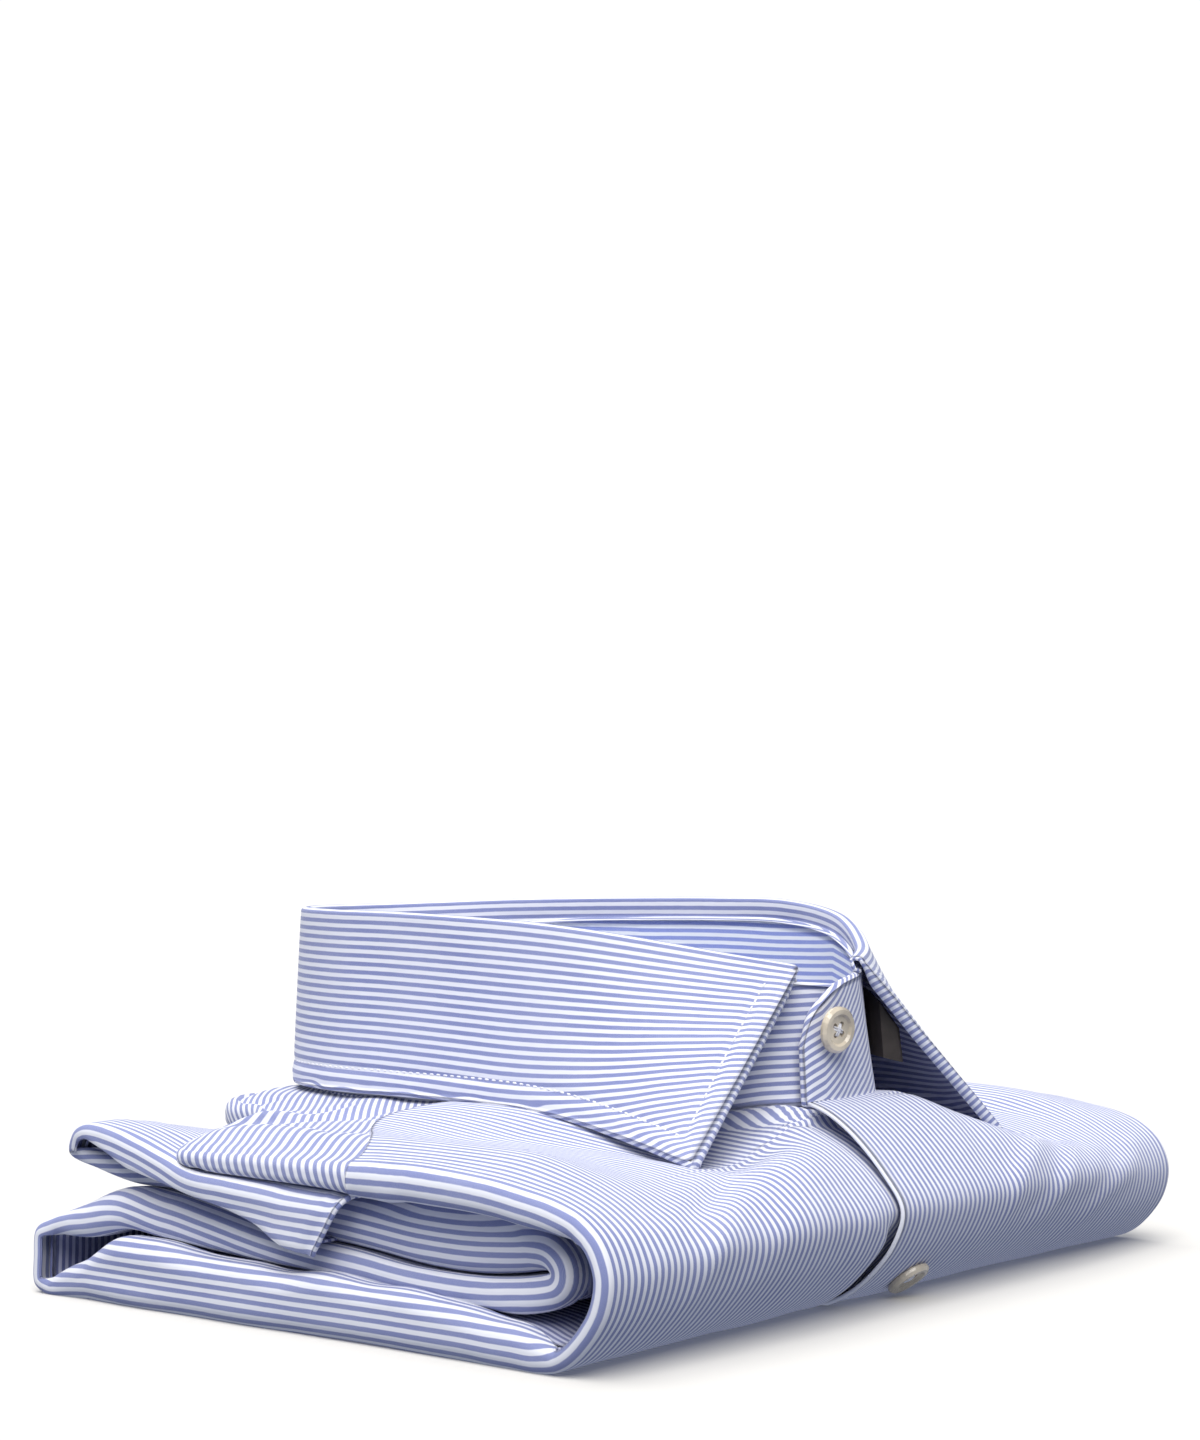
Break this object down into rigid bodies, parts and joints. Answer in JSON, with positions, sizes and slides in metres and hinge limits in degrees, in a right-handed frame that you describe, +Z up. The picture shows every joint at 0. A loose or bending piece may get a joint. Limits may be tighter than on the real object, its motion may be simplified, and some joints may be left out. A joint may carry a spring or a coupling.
{
  "type": "folded dress shirt",
  "caption": "Long-sleeved dress shirt in fine striped poplin, folded to a packet and lying face up, its collar standing and buttoned, for a shelf, table or drawer.",
  "frame": {"origin": "middle of the bounding box at the height of the underside, which lies on the ground", "axes": "+X to the wearer's left, along the packet's width; +Y from the front fold to the back of the collar; +Z up"},
  "size_m": [0.2502, 0.2072, 0.0943],
  "materials": {
    "shirt_cloth": "matt cotton poplin, blue and white stripes 2.4 mm apart",
    "collar_cloth": "the same poplin over a stiff lining, with sewn edges",
    "card": "matt grey-brown card",
    "button": "polished, pearly"
  },
  "bodies": {
    "root": {"front_right": "shirt_cloth", "front_left": "shirt_cloth", "folded_core": "shirt_cloth", "yoke": "shirt_cloth", "collar_stand": "collar_cloth", "collar_leaf": "collar_cloth", "collar_support": "card", "button_neck": "button", "button_front": "button"}
  },
  "joints": []
}
